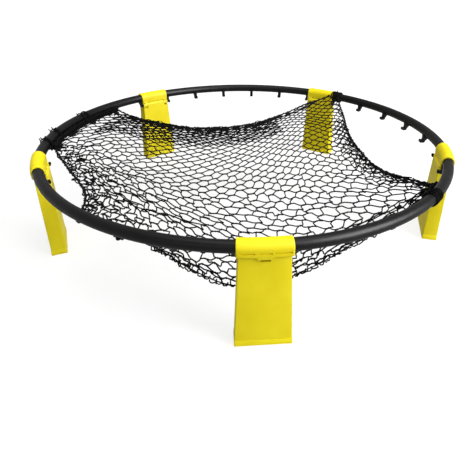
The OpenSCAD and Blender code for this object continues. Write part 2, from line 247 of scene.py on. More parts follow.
def spin(shape: Shape, half_deg: float, steps: int) -> None:
    """Turns a shape's faces through an angle centred on -Y, and leaves the solid that they sweep."""
    bmesh.ops.rotate(shape, matrix=about_z(-half_deg, 3), verts=shape.verts)
    bmesh.ops.spin(shape, geom=shape.faces[:], axis=(0, 0, 1), cent=(0, 0, 0), steps=steps,
                   angle=math.radians(2 * half_deg), use_merge=False)


def block(low: Point, high: Point) -> Shape:
    """Makes a rectangular block between two corners, given in millimetres.

    Args:
        low: The corner with the least of each measure.
        high: The corner with the most of each.

    Returns:
        The block.
    """
    shape = bmesh.new()
    bmesh.ops.create_cube(shape, size=1)
    size = [(high[k] - low[k]) * MM for k in range(3)]
    middle = [(high[k] + low[k]) / 2 * MM for k in range(3)]
    bmesh.ops.scale(shape, vec=size, verts=shape.verts)
    bmesh.ops.translate(shape, vec=middle, verts=shape.verts)
    return shape


def rod(radius: float, start: Point, end: Point, segments: int = 32) -> Mesh:
    """Makes a closed round bar between two points, all in millimetres.

    Args:
        radius: The bar's radius.
        start: The middle of one end.
        end: The middle of the other.
        segments: The faces round it.

    Returns:
        The bar's mesh.
    """
    shape = bmesh.new()
    a, b = Vector(start) * MM, Vector(end) * MM
    bmesh.ops.create_cone(shape, cap_ends=True, segments=segments, radius1=radius * MM, radius2=radius * MM,
                          depth=(b - a).length)
    turn = (b - a).to_track_quat("Z", "Y").to_matrix().to_4x4()
    bmesh.ops.transform(shape, matrix=Matrix.Translation((a + b) / 2) @ turn, verts=shape.verts)
    return to_mesh(shape)


# ---- materials ----


class Nodes:
    """A node tree that is laid out step by step."""

    def __init__(self, tree: bpy.types.NodeTree) -> None:
        """Starts on a tree."""
        self.tree = tree

    def fill(self, node: bpy.types.Node, inputs: dict) -> None:
        """Links sockets to a node's inputs, and sets plain values on its others.

        Args:
            node: The node.
            inputs: What each input gets, by name or number: a socket to link, or a plain value.
        """
        for key, value in inputs.items():
            if isinstance(value, Socket):
                self.tree.links.new(value, node.inputs[key])
            else:
                node.inputs[key].default_value = value

    def add(self, kind: str, out: str, inputs: dict, **settings: object) -> Socket:
        """Adds a shader node.

        Args:
            kind: Its type, without the ShaderNode in front.
            out: The output that is given back.
            inputs: What its inputs get, as for fill.
            settings: The node's own settings.

        Returns:
            The output's socket.
        """
        node = self.tree.nodes.new("ShaderNode" + kind)
        for name, value in settings.items():
            setattr(node, name, value)
        self.fill(node, inputs)
        return node.outputs[out]


class Sheet(Nodes):
    """The node tree of a material with one Principled shader."""

    def __init__(self, name: str) -> None:
        """Starts the material.

        Args:
            name: The material's name.
        """
        self.material = bpy.data.materials.new(name)
        self.material.use_nodes = True
        super().__init__(self.material.node_tree)
        self.shader = self.tree.nodes["Principled BSDF"]
        self.place = self.add("TexCoord", "Object", {})

    def finish(self, inputs: dict) -> Material:
        """Links or sets the shader's own inputs, and gives the material."""
        self.fill(self.shader, inputs)
        return self.material

    def noise(self, size_mm: float, detail: float = 3, stretch: Point = (1, 1, 1)) -> Socket:
        """Adds a noise with features of a size, stretched along the axes, and gives its value."""
        mapped = self.add("Mapping", "Vector", {"Scale": stretch, "Vector": self.place})
        return self.add("TexNoise", "Fac", {"Scale": 1 / (size_mm * MM), "Detail": detail, "Vector": mapped})

    def spread(self, value: Socket, low: float, high: float, start: float = 0.35,
               end: float = 0.65) -> Socket:
        """Maps a value from start..end to low..high, and holds it there."""
        return self.add("MapRange", "Result", {"Value": value, "From Min": start, "From Max": end,
                                               "To Min": low, "To Max": high})

    def mixed(self, share: Socket, first: Colour, second: Colour) -> Socket:
        """Mixes two colours by a share, and gives the colour."""
        inputs = {"A": (*first, 1), "B": (*second, 1), "Factor": share}
        return self.add("Mix", "Result", inputs, data_type="RGBA")

    def raised(self, height: Socket, depth_mm: float, under: Socket | None = None) -> Socket:
        """Adds relief of a depth, over other relief if there is any, and gives the normal."""
        inputs = {"Strength": 1, "Distance": depth_mm * MM, "Height": height}
        return self.add("Bump", "Normal", inputs if under is None else {**inputs, "Normal": under})


@dataclass(frozen=True)
class Finish:
    """What every finish has: its name and its main colour."""

    name: str
    colour: Colour


@dataclass(frozen=True)
class MouldedPlastic(Finish):
    """Moulded plastic with a faint grain, slow colour drift and light rub marks.

    Its shine is the share of light sent back face on, and at a grazing angle.
    """

    drift: Colour
    roughness: tuple[float, float]
    grain_mm: float = 0.55
    grain_depth_mm: float = 0.03
    ripple_depth_mm: float = 0.12
    refraction: float = 1.2
    shine: tuple[float, float] = (0.5, 0.3)
    turned_away: tuple[float, float] = (0.25, 0.75)

    def material(self) -> Material:
        """Builds the material.

        Returns:
            The material.
        """
        sheet = Sheet(self.name)
        ripple = sheet.raised(sheet.noise(22, 2), self.ripple_depth_mm)
        return sheet.finish({
            "Base Color": sheet.mixed(sheet.spread(sheet.noise(46, 3), 0, 1), self.colour, self.drift),
            "Roughness": sheet.spread(sheet.noise(9, 5, (1, 1, 0.35)), *self.roughness),
            "Normal": sheet.raised(sheet.noise(self.grain_mm, 2), self.grain_depth_mm, ripple),
            "IOR": self.refraction,
            "Specular IOR Level": sheet.spread(sheet.add("LayerWeight", "Facing", {}), *self.shine,
                                               *self.turned_away),
        })


@dataclass(frozen=True)
class CordFinish(Finish):
    """Black cord with fibres: fine streaks in colour and relief."""

    worn: Colour
    fibre_mm: float
    depth_mm: float
    shine: float = 0.03

    def material(self) -> Material:
        """Builds the material.

        Returns:
            The material.
        """
        sheet = Sheet(self.name)
        fibres = sheet.noise(self.fibre_mm, 4)
        dust = sheet.spread(sheet.noise(14, 3), 0, 1, 0.45, 0.75)
        return sheet.finish({
            "Base Color": sheet.mixed(dust, self.colour, self.worn),
            "Roughness": sheet.spread(fibres, 0.62, 0.85),
            "Normal": sheet.raised(fibres, self.depth_mm),
            "Specular IOR Level": self.shine,
        })


@dataclass(frozen=True)
class BraidFinish(Finish):
    """Braided cord: crossing plaits that follow the cord's own length, with painted shade in the grooves
    between them.
    """

    # the darker colour of the low parts between the plaits: painted shade
    groove: Colour
    plaits: float
    depth_mm: float = 0.4
    shine: float = 0.06

    def material(self) -> Material:
        """Builds the material.

        Returns:
            The material.
        """
        sheet = Sheet(self.name)
        uv = sheet.add("UVMap", "UV", {}, uv_map="UVMap")
        waves = {}
        for key, side in enumerate((-1, 1)):
            turned = sheet.add("Mapping", "Vector", {"Scale": (self.plaits, 2 * side, 1), "Vector": uv})
            waves[key] = sheet.add("TexWave", "Fac", {"Scale": 1, "Vector": turned},
                                   bands_direction="DIAGONAL")
        height = sheet.add("Math", "Value", waves, operation="MAXIMUM")
        return sheet.finish({
            # the low parts of the plait pattern take the groove colour, which is painted shade
            "Base Color": sheet.mixed(height, self.groove, self.colour),
            "Normal": sheet.raised(height, self.depth_mm),
            "Roughness": 0.7,
            "Specular IOR Level": self.shine,
        })


@dataclass(frozen=True)
class TurnedSteel(Finish):
    """Drawn steel with fine lines round it."""

    def material(self) -> Material:
        """Builds the material.

        Returns:
            The material.
        """
        sheet = Sheet(self.name)
        lines = sheet.noise(1.2, 4, (1, 1, 6))
        return sheet.finish({
            "Base Color": sheet.mixed(lines, self.colour, tuple(0.7 * c for c in self.colour)),
            "Roughness": sheet.spread(lines, 0.25, 0.45),
            "Normal": sheet.raised(lines, 0.02),
            "Metallic": 1,
        })


def dress(piece: Piece, finish: Material) -> None:
    """Gives a piece one material."""
    piece.data.materials.clear()
    piece.data.materials.append(finish)


def keep(piece: Piece, finish: Material, body: str, slot: str, *replaced: str) -> None:
    """Dresses a new piece and sets it on its body.

    Args:
        piece: The new piece.
        finish: Its material.
        body: The CAD body that it rides on.
        slot: Not used.
        replaced: The CAD nodes that it stands for, if any.
    """
    dress(piece, finish)
    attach(piece, body)
    if replaced:
        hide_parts(*replaced)
    LOG.info("%s: %d faces", piece.name, len(piece.data.polygons))


def set_round(name: str, first: Mesh, finish: Material, body: str, node: str) -> None:
    """Sets five copies of a shell round the hoop, each in place of its CAD node.

    Args:
        name: The pieces' name, before their number.
        first: The shell at leg 1.
        finish: The material of them all.
        body: The body they ride on, with {} where it has a number.
        node: The CAD nodes' name, before their number.
    """
    for k in range(LEGS):
        mesh = first.copy()
        mesh.transform(about_z(STEP * k))
        piece = add_object(f"{name}_{k + 1}", mesh)
        keep(piece, finish, body.format(k + 1), "leg_plastic", f"{node}_{k + 1}")


# ---- the hoop's own sizes ----


@dataclass(frozen=True)
class HoopSizes:
    """Sizes in millimetres that the hoop, its collars and its legs share."""

    ring: float = 446.5
    tube_r: float = 10.5
    height: float = 188
    seam: float = 176
    collar_w: float = 86
    collar_r: float = 13.6
    tongue_w: float = 24
    tongue_len: float = 3.6
    tongue_t: float = 1.7
    tongue_face: float = 459.5
    leg_top: float = 175.7
    pivot_rho: float = 437.5
    pivot_z: float = 168.2
    lug_in: float = 27.5
    lug_out: float = 36.5
    neck_half: float = 36.5
    neck_in: float = 445.3
    neck_out: float = 452.6
    neck_h: float = 8.3
    hook_rest: float = 174


SIZES = HoopSizes()


def tube_disc(radius: float, segments: int) -> Shape:
    """Makes a disc across the hoop's tube at -Y.

    Args:
        radius: Its radius, in millimetres.
        segments: The sides of its outline.

    Returns:
        The disc.
    """
    shape = bmesh.new()
    bmesh.ops.create_circle(shape, cap_ends=True, segments=segments, radius=radius * MM)
    place = Matrix.Translation((0, -SIZES.ring * MM, SIZES.height * MM))
    bmesh.ops.transform(shape, matrix=place @ Matrix.Rotation(math.radians(90), 4, "Y"), verts=shape.verts)
    return shape


def on_pin(radius: float, start: float, end: float) -> Mesh:
    """Makes a round bar along leg 1's hinge pin, between two places on X, in millimetres."""
    return rod(radius, (start, -SIZES.pivot_rho, SIZES.pivot_z), (end, -SIZES.pivot_rho, SIZES.pivot_z), 48)


def bent_bar(radius: float, half_deg: float) -> Mesh:
    """Makes a round bar bent to the hoop's ring, centred on -Y.

    Args:
        radius: Radius of the bar, in millimetres.
        half_deg: Half of the angle that it covers.

    Returns:
        The closed bar.
    """
    shape = tube_disc(radius, 48)
    spin(shape, half_deg, 16)
    return to_mesh(shape)


class Hoop:
    """The five tube segments with their hooks, the hinge pins and the screws."""

    def dress(self, finishes: dict[str, Material]) -> None:
        """Gives the CAD nodes their finishes, by the start of their names.

        Args:
            finishes: The finish for each start of a node's name.
        """
        for name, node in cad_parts.items():
            for start, finish in finishes.items():
                if name.startswith(start):
                    dress(node, finish)
                    LOG.info("%s dressed", name)


@dataclass
class HookWebs:
    """The webs that brace the free hooks against the tube, behind their stems."""

    outline: tuple = ((441.2, 166.2), (444.3, 171), (451.5, 178.2), (451.5, 180.5), (441.2, 180.5))
    wide: float = 8.3
    end_wide: float = 5.0
    pitch: int = 12
    soft: float = 0.6
    busy: tuple = (42, 54, 234, 246, 258, 270, 318, 330)

    def add_web(self, shape: Shape, deg: int) -> None:
        """Adds one web across the hook's width.

        Args:
            shape: The shape that it is added to.
            deg: Its angle from leg 1.
        """
        wide = self.end_wide if deg % STEP in (self.pitch / 2, STEP - self.pitch / 2) else self.wide
        turn = math.radians(deg)
        across = Vector((math.cos(turn), math.sin(turn), 0)) * wide * MM
        corners = [Vector(at(deg, rho, z)) - across / 2 for rho, z in self.outline]
        side = shape.faces.new([shape.verts.new(corner) for corner in corners])
        made = bmesh.ops.extrude_face_region(shape, geom=[side], use_keep_orig=True)["geom"]
        bmesh.ops.translate(shape, vec=across, verts=verts_of(made))

    def build(self, finish: Material) -> None:
        """Makes the webs of all the free hooks as one piece.

        Args:
            finish: The webs' material.
        """
        shape = bmesh.new()
        for deg in range(self.pitch // 2, 360, self.pitch):
            if deg not in self.busy:
                self.add_web(shape, deg)
        webs = rounded_edges(to_mesh(shape), self.soft * MM, angle_deg=25)
        keep(add_object("hook_webs", webs), finish, "root", "hoop_plastic")


@dataclass
class Collars:
    """The five moulded collars that hold the tube ends over the legs."""

    edge: float = 1.6
    soft: float = 0.25
    line_at: float = 5.8
    line_w: float = 3.2
    line_deep: float = 2.3
    line_deeper: float = 1.3
    line_in: float = 10.6
    line_gap: float = 14.8
    line_end: float = 3.2
    screw_x: float = 31.5
    lug_r: float = 7.2

    def saddle(self) -> Mesh:
        """Makes the half-round top with its straight skirt, bent to the hoop, with its edges rounded.

        Returns:
            The saddle's mesh.
        """
        s = SIZES
        shape = tube_disc(s.collar_r, 72)
        level = s.height * MM
        slice_at(shape, level, 1e-6, clear_inner=True)
        cut = [e for e in shape.edges if all(abs(v.co.z - level) < 1e-6 for v in e.verts)]
        bottom = verts_of(bmesh.ops.extrude_edge_only(shape, edges=cut)["geom"])
        bmesh.ops.translate(shape, vec=(0, 0, (s.seam - s.height) * MM), verts=bottom)
        bmesh.ops.dissolve_faces(shape, faces=shape.faces[:])
        spin(shape, math.degrees(math.asin(s.collar_w / 2 / (s.ring + s.collar_r))), 12)
        bmesh.ops.recalc_face_normals(shape, faces=shape.faces)
        round_off(shape, [e for e in shape.edges if e.calc_face_angle(0) > math.radians(60)], self.edge, 5)
        return to_mesh(shape)

    def tongue(self) -> Mesh:
        """Makes the latch tongue, with rounded lower corners.

        Returns:
            The tongue's mesh.
        """
        s = SIZES
        shape = block((-s.tongue_w / 2, -s.tongue_face, s.seam - s.tongue_len),
                      (s.tongue_w / 2, -s.tongue_face + s.tongue_t, s.seam + 2.5))
        corners = [e for e in shape.edges if all(v.co.z < s.seam * MM for v in e.verts)
                   and abs(e.verts[0].co.x - e.verts[1].co.x) < 1e-6]
        round_off(shape, corners, 3, 6)
        return to_mesh(shape)

    def grooves(self) -> list[Mesh]:
        """Makes the cutters for the three shallow lines across the skirt, over the tongue and beside it.

        Returns:
            The cutters' meshes.
        """
        face = SIZES.ring + SIZES.collar_r
        low, high = SIZES.seam + self.line_at, SIZES.seam + self.line_at + self.line_w
        spans = [(-self.line_in, self.line_in, self.line_deep)]
        for side in (-1, 1):
            ends = sorted((side * self.line_gap, side * (SIZES.collar_w / 2 - self.line_end)))
            spans.append((*ends, self.line_deep + self.line_deeper))
        return [to_mesh(block((a, -face - 1, low), (b, -face + deep, high))) for a, b, deep in spans]

    def lug(self, side: int) -> Mesh:
        """Makes one hinge lug, from the skirt down round the pin.

        Args:
            side: -1 or 1, for the way along X.

        Returns:
            The lug's mesh.
        """
        s = SIZES
        a, b = sorted((side * s.lug_in, side * s.lug_out))
        web = block((a, -s.neck_out, s.pivot_z), (b, -s.pivot_rho + self.lug_r, s.seam + 0.8))
        return combine(on_pin(self.lug_r, a, b), add=(to_mesh(web),))

    def shell(self) -> Mesh:
        """Puts one collar together at leg 1 and bores it for the tube, the pin and the screw.

        Returns:
            The collar's mesh.
        """
        s = SIZES
        under = s.seam - s.neck_h
        neck = block((-s.neck_half, -s.neck_out, under), (s.neck_half, -s.neck_in, s.seam + 0.8))
        screw = [rod(r, (self.screw_x, -s.ring, under - 1), (self.screw_x, -s.ring, top))
                 for r, top in ((3.35, under + 2), (1.7, s.seam + 6))]
        solid = combine(self.saddle(), add=(to_mesh(neck), self.lug(-1), self.lug(1), self.tongue()),
                        cut=(*self.grooves(), bent_bar(s.tube_r + 0.15, 7.5), on_pin(2.02, -50, 50), *screw))
        return rounded_edges(solid, self.soft * MM)

    def build(self, finish: Material) -> None:
        """Makes the five collars."""
        set_round("collar_shell", self.shell(), finish, "root", "leg_collar")


@dataclass
class Legs:
    """The five tapered legs, open at both ends, rolled round the hinge pin."""

    wall: float = 2.5
    top_w: float = 79
    foot_w: float = 97
    top_in: float = 430.0
    top_out: float = 455.7
    foot_in: float = 432.6
    foot_out: float = 464.1
    long_edge: float = 2.4
    top_edge: float = 1.4
    roll: float = 7.5
    groove_z: float = 10.5
    groove: float = 0.5
    slot_w: float = 17
    slot_h: float = 4.4
    slot_drop: float = 1.6
    soft: float = 0.45

    def ends(self, shape: Shape) -> list[bmesh.types.BMFace]:
        """Picks the block's flat ends."""
        level = [(f, f.calc_center_median().z) for f in shape.faces if abs(f.normal.z) > 0.999]
        return [f for f, z in level if z < MM or abs(z - SIZES.leg_top * MM) < 1e-5]

    def block(self) -> Shape:
        """Makes the tapered block with its rolled and rounded edges.

        Returns:
            The block, still closed.
        """
        shape = block((-1, -1, 0), (1, 1, SIZES.leg_top))
        for v in shape.verts:
            top = v.co.z > SIZES.leg_top / 2 * MM
            half = (self.top_w if top else self.foot_w) / 2
            inner, outer = (self.top_in, self.top_out) if top else (self.foot_in, self.foot_out)
            v.co.x = math.copysign(half * MM, v.co.x)
            v.co.y = -(inner if v.co.y > 0 else outer) * MM
        top_z = SIZES.leg_top * MM
        for side, rho, *rounding in ((1, self.top_in, self.roll, 9), (-1, self.top_out, self.top_edge, 4)):
            edges = [e for e in shape.edges
                     if all(v.co.z > top_z - 1e-6 and side * (v.co.y + rho * MM) > -1e-6 for v in e.verts)]
            round_off(shape, edges, *rounding)
        ends = set(self.ends(shape))
        sides = [f for f in shape.faces if abs(f.normal.x) > 0.9]
        long_edges = {e for f in sides for e in f.edges if not ends.intersection(e.link_faces)}
        round_off(shape, list(long_edges), self.long_edge, 4)
        return shape

    def sleeve(self) -> Mesh:
        """Opens the block at both ends and gives it its wall and its foot groove.

        Returns:
            The hollow leg's mesh.
        """
        shape = self.block()
        bmesh.ops.delete(shape, geom=self.ends(shape), context="FACES")
        for k in range(3):
            level = (self.groove_z + 0.8 * k) * MM
            cut = slice_at(shape, level, 1e-7)
            if k == 1:
                middle = (0, -(self.foot_in + self.foot_out) / 2 * MM)
                for v in verts_of(cut):
                    for axis in (0, 1):
                        away = v.co[axis] - middle[axis]
                        v.co[axis] -= math.copysign(min(abs(away), self.groove * MM), away)
        return applied(to_mesh(shape), "SOLIDIFY", thickness=self.wall * MM, offset=-1, use_even_offset=True)

    def slot(self) -> Mesh:
        """Makes the release slot's cutter, with round ends.

        Returns:
            The cutter's mesh.
        """
        top = SIZES.seam - SIZES.tongue_len - self.slot_drop
        shape = block((-self.slot_w / 2, -self.top_out - 4, top - self.slot_h),
                      (self.slot_w / 2, -self.top_out + 4, top))
        through = [e for e in shape.edges if abs(e.verts[0].co.y - e.verts[1].co.y) > 2 * MM]
        round_off(shape, through, self.slot_h * 0.49, 6)
        return to_mesh(shape)

    def shell(self) -> Mesh:
        """Puts one leg together at leg 1, with its holes, its room for the lugs and its rounded rims.

        Returns:
            The leg's mesh.
        """
        s = SIZES
        rooms = []
        for side in (-1, 1):
            a, b = sorted((side * (s.lug_in - 0.4), side * (s.lug_out + 0.4)))
            rooms.append(to_mesh(block((a, -s.pivot_rho - 1, s.pivot_z - 7.8),
                                       (b, -s.pivot_rho + 12, s.pivot_z + 14))))
        solid = combine(self.sleeve(), cut=(self.slot(), on_pin(2.06, -60, 60), *rooms))
        return rounded_edges(solid, self.soft * MM)

    def build(self, finish: Material) -> None:
        """Makes the five legs."""
        set_round("leg_shell", self.shell(), finish, "leg_{}", "leg_panel")


# ---- cords ----


def cord_object(name: str, lines: list[Array], diameter: float, sides: int = 1,
                thin: Array | None = None) -> Piece:
    """Makes one mesh of round cords along lines.

    Args:
        name: The piece's name.
        lines: The centre line of each cord, in metres.
        diameter: The cord's diameter, in metres.
        sides: Blender's bevel resolution, where 1 gives six sides.
        thin: The share of the diameter at each point, where it isn't the same all along.

    Returns:
        The piece.
    """
    curve = bpy.data.curves.new(name, "CURVE")
    curve.dimensions = "3D"
    curve.bevel_depth = diameter / 2
    curve.bevel_resolution = sides
    curve.use_fill_caps = True
    curve.twist_mode = "MINIMUM"
    for line in lines:
        spline = curve.splines.new("POLY")
        spline.points.add(len(line) - 1)
        spline.points.foreach_set("co", np.column_stack([line, np.ones(len(line))]).ravel())
        if thin is not None:
            spline.points.foreach_set("radius", thin)
    drawn = add_object(name + "_line", curve)
    mesh = finished_mesh(drawn)
    bpy.data.objects.remove(drawn)
    bpy.data.curves.remove(curve)
    mesh.shade_smooth()
    return add_object(name, mesh)


@dataclass(frozen=True)
class NetEdges:
    """Where the net's edge lies, as angle, distance from the axis and height from the tube's centre line."""

    back: tuple = ((139.2, 427, 6), (142, 420, -6), (146.5, 362, -14), (150.5, 300, -22), (157, 245, -28),
                   (166, 205, -33), (181, 182, -37), (200, 182, -38), (216, 205, -36), (226, 250, -31),
                   (231.5, 310, -25), (234, 375, -19))
    left: tuple = ((275, 425, -14), (283.6, 403, -13.5), (291.8, 389, -16.5), (298.8, 382, -21),
                   (305.5, 387, -22.5), (311, 403, -20))
    front: tuple = ((335, 421, -34), (339, 420, -46), (343, 418, -66), (348, 420, -82), (352.5, 423, -92),
                    (358, 424, -94), (364, 422, -88), (369, 420, -76), (374, 421, -62), (379, 421, -46),
                    (386, 422, -34))
    tail: tuple = ((398, 424, -24), (408, 427, -18))
    right: tuple = ((56, 402, -18), (58, 362, -22), (62, 322, -26), (69, 293, -28), (80, 274, -28),
                    (94, 268, -25), (108, 285, -19), (121, 330, -11), (131, 385, 0), (135.2, 424, 8))
    held_left: tuple = (234, 246, 258, 270)
    held_front: tuple = (318, 330)
    held_right: float = 54
    wrap_at: float = 137.3
    edge_rho: float = 432.2
    loop_rho: float = 444.85

    def hooks(self) -> tuple[float, ...]:
        """Gives the angles of the hooks that hold the net."""
        return *self.held_left, *self.held_front, self.held_right

    def line(self, points: tuple) -> Array:
        """Gives a free edge's points in metres."""
        return np.array([at(deg, rho, SIZES.height + z) for deg, rho, z in points])

    def held(self, *degs: float) -> Array:
        """Gives the points where the net's edge hangs at these angles."""
        return np.array([at(deg, self.edge_rho, SIZES.hook_rest) for deg in degs])

    def corner_back(self) -> Array:
        """Gives the corner that lies over the tube."""
        return at(self.wrap_at - 0.4, SIZES.ring - 9, SIZES.height + SIZES.tube_r + 1.75)

    def hook_loop(self, deg: float) -> Array:
        """Gives the border cord's way round a hook's stem, as four points."""
        inner, outer = self.loop_rho - 7.75, self.loop_rho
        return np.array([at(deg + aside, rho, SIZES.hook_rest)
                         for aside, rho in ((-1.19, inner), (-0.69, outer), (0.69, outer), (1.19, inner))])


EDGES = NetEdges()


def ease(value: Array, start: float, end: float) -> Array:
    """Rises smoothly from 0 at start to 1 at end."""
    t = np.clip((value - start) / (end - start), 0, 1)
    return t * t * (3 - 2 * t)


@dataclass
class Net:
    """The knotted net, laid between its four sides with slack where it isn't held.

    Its folds and bunches are given for the back edge and then the right one: a fold by its first and last
    knot, its rows and how far they close up, a bunch by its cords, its first and last knot and its width.
    """

    across: int = 44
    deep: int = 56
    cord_d: float = 2.6
    bar: float = 23
    link_points: int = 5
    knot_half: float = 1.8
    sag: float = 14
    taut_left: float = 0.6
    folds: tuple = ((13, 41, 16, 0.85), (12, 48, 5, 1))
    bunched: tuple = ((4, 4, 40, 2.5), (2, 5, 47, 1.5))
    seed: int = 11

    def __post_init__(self) -> None:
        """Starts the source of the small differences."""
        self.rng = np.random.default_rng(self.seed)

    def flat(self) -> tuple[float, float]:
        """Gives the flat net's width and length in metres, with its cells pulled out square."""
        half_cell = self.bar * MM / math.sqrt(2)
        return self.across * half_cell, self.deep * half_cell

    def cord_area(self) -> float:
        """Gives half the surface of the flat net's cord in square metres, by its bars' count and length."""
        return math.pi * self.cord_d * MM * self.across * self.deep * self.bar * MM / 2

    def grid(self) -> tuple[Array, Array]:
        """Gives the plain shares across and front to back, as a column and a row."""
        return np.linspace(0, 1, self.across + 1)[:, None], np.linspace(0, 1, self.deep + 1)[None, :]

    def sides(self) -> dict[str, Array]:
        """Gives the net's four sides as smooth lines from corner to corner.

        Returns:
            Each side by its name: back, front, right and left.
        """
        e = EDGES
        left_corner, front_corner = e.held(240), e.held(324)
        back_corner = e.corner_back()[None]
        tail = e.line(e.tail)
        return {
            "back": smooth_line(np.vstack([back_corner, e.line(e.back), e.held(235.5), left_corner]), 8),
            "front": smooth_line(np.vstack([tail[:1], e.line(e.front)[::-1], e.held(331), front_corner]), 8),
            "right": smooth_line(np.vstack([back_corner, e.line(e.right)[::-1], e.held(e.held_right),
                                            tail[1:], tail[:1]]), 8),
            "left": smooth_line(np.vstack([left_corner, e.held(246, 252, 258, 264, 269), e.line(e.left),
                                           e.held(317), front_corner]), 8),
        }

    def shares(self) -> tuple[Array, Array]:
        """Gives each knot's share of the way across and of the way front to back.

        The rows close up beside the stretched back and right edges and where the net is bunched.

        Returns:
            Both shares, indexed by the place across and the place front to back.
        """
        u, v = np.broadcast_arrays(*self.grid())
        mid_u, mid_v = (u[1:] + u[:-1]) / 2, (v[:, 1:] + v[:, :-1]) / 2
        row, column = v[1:], u[:, 1:]
        right = 0.7 * ease(row, 0.06, 0.26) * (1 - 0.4 * ease(row, 0.8, 0.95))
        left = 0.55 * ease(row, 0.3, 0.6)
        step_u = 1 - right * np.exp(-((mid_u / 0.1) ** 2)) - left * np.exp(-(((1 - mid_u) / 0.24) ** 2))
        back = 0.5 * ease(column, 0.08, 0.25) * (1 - ease(column, 0.86, 0.95))
        step_v = 1 - back * np.exp(-((mid_v / 0.22) ** 2)) - 0.35 * np.exp(-(((1 - mid_v) / 0.12) ** 2))
        wide = np.vstack([np.zeros((1, self.deep + 1)), np.cumsum(step_u, axis=0)])
        long = np.hstack([np.zeros((self.across + 1, 1)), np.cumsum(step_v, axis=1)])
        return wide / wide[-1:], long / long[:, -1:]

    def knots(self) -> Array:
        """Lays the grid of knots, indexed by the place across and the place front to back.

        Returns:
            The grid, as an array of points.
        """
        side = self.sides()
        wu, wv = self.shares()
        back, front = spaced(side["back"], wu), spaced(side["front"], wu)
        right, left = spaced(side["right"], wv), spaced(side["left"], wv)
        su, sv = wu[..., None], wv[..., None]
        b0, b1, f0, f1 = side["back"][0], side["back"][-1], side["front"][0], side["front"][-1]
        flat = ((1 - sv) * back + sv * front + (1 - su) * right + su * left
                - (1 - su) * (1 - sv) * b0 - su * (1 - sv) * b1 - (1 - su) * sv * f0 - su * sv * f1)
        drop = front[..., 2] - (1 - wu) * f0[2] - wu * f1[2]
        flat[..., 2] += (wv**3 - wv) * drop
        sag = self.sag * (1 - self.taut_left * ease(wu, 0.45, 0.8))
        flat[..., 2] -= sag * MM * np.sin(np.pi * wu) * np.sin(np.pi * wv)
        return self.gathered(flat)

    def gathered(self, knots: Array) -> Array:
        """Draws the knots towards the hooks that hold the net.

        Args:
            knots: The grid of knots.

        Returns:
            The grid, drawn in round each hook.
        """
        e = EDGES
        holds = [(e.held_right, 40, 0.8)] + [(deg, 12, 0.5) for deg in (*e.held_left, *e.held_front)]
        for deg, reach, share in holds:
            hook = e.held(deg)[0]
            gap = np.linalg.norm(knots - hook, axis=-1, keepdims=True)
            knots = knots + (hook - knots) * share * np.exp(-((gap / (reach * MM)) ** 2))
        return knots

    def slack(self) -> Array:
        """Gives how slack the net is at each knot, from 0 to 1."""
        u, v = self.grid()
        return np.clip(0.12 + 0.88 * ease(v, 0.12, 0.72) + 0.9 * ease(u, 0.6, 1) * ease(v, 0.1, 0.5), 0, 1)

    def shaken(self, knots: Array) -> Array:
        """Moves the knots a little off their grid, more where the net is slack.

        Args:
            knots: The grid of knots.

        Returns:
            The grid, shaken.
        """
        u, v = self.grid()
        loose = (0.1 + 0.8 * self.slack()) * (1 + 0.3 * ease(u, 0.62, 0.85) * ease(v, 0.3, 0.55))
        reach = loose[..., None] * np.array([5.0, 5.0, 2.2]) * MM
        inner = np.ones(knots.shape[:2])
        inner[[0, -1], :] = 0.25
        inner[:, [0, -1]] = 0.25
        return knots + self.rng.uniform(-1, 1, knots.shape) * reach * inner[..., None]

    def link(self, a: Array, b: Array, out: Array, into: Array, slack: float) -> Array:
        """Runs a cord between two knots.

        Args:
            a: The first knot.
            b: The second knot.
            out: The way that the cord leaves the first knot, one unit long.
            into: The way that it runs into the second knot.
            slack: How slack the net is here, from 0 to 1.

        Returns:
            Its points, from beside the first knot to beside the second.
        """
        half = self.knot_half * (0.4 + 0.6 * slack) * MM
        start, end = a + out * half, b - into * half
        span = float(np.linalg.norm(end - start))
        spare = math.sqrt(max((self.bar * MM) ** 2 - span**2, 0))
        reach = min((0.03 + 0.42 * slack) * span + 0.25 * slack * spare, 11 * MM)
        t = np.linspace(0, 1, self.link_points)[:, None]
        line = ((1 - t) ** 3 * start + 3 * (1 - t) ** 2 * t * (start + out * reach)
                + 3 * (1 - t) * t**2 * (end - into * reach) + t**3 * end)
        aside = np.cross(end - start, [0, 0, 1])
        aside /= max(np.linalg.norm(aside), 1e-6)
        swing, kink = self.rng.uniform(-1, 1, 2)
        bow = min(spare * 0.3, 5.2 * MM) * (0.08 + 0.92 * slack)
        sway = bow * (swing * np.sin(np.pi * t) + 0.8 * kink * np.sin(2 * np.pi * t))
        return line + aside * sway - np.array([0, 0, 1]) * bow * 0.5 * np.sin(np.pi * t)

    def strands(self, knots: Array, slack: Array) -> list[Array]:
        """Runs cords slantwise from knot to knot of a grid.

        Args:
            knots: The grid of knots.
            slack: How slack the net is at each, from 0 to 1.

        Returns:
            The cords' centre lines.
        """
        across, deep = knots.shape[0] - 1, knots.shape[1] - 1
        along = self.along(knots)
        lines = []
        for way in (1, -1):
            row = 0 if way == 1 else deep - deep % 2
            starts = [(0, j) for j in range(0, deep + 1, 2)] + [(i, row) for i in range(2, across, 2)]
            for i, j in starts:
                points = []
                while i < across and 0 <= j + way <= deep:
                    here, there = (i, j), (i + 1, j + way)
                    points.append(self.link(knots[here], knots[there], along[here], along[there],
                                            (slack[here] + slack[there]) / 2))
                    i, j = there
                if points:
                    lines.append(np.vstack(points))
        return lines

    def along(self, knots: Array) -> Array:
        """Gives the way that each knot lies, along its row."""
        way = np.gradient(knots, axis=0)
        return way / np.maximum(np.linalg.norm(way, axis=-1, keepdims=True), 1e-6)

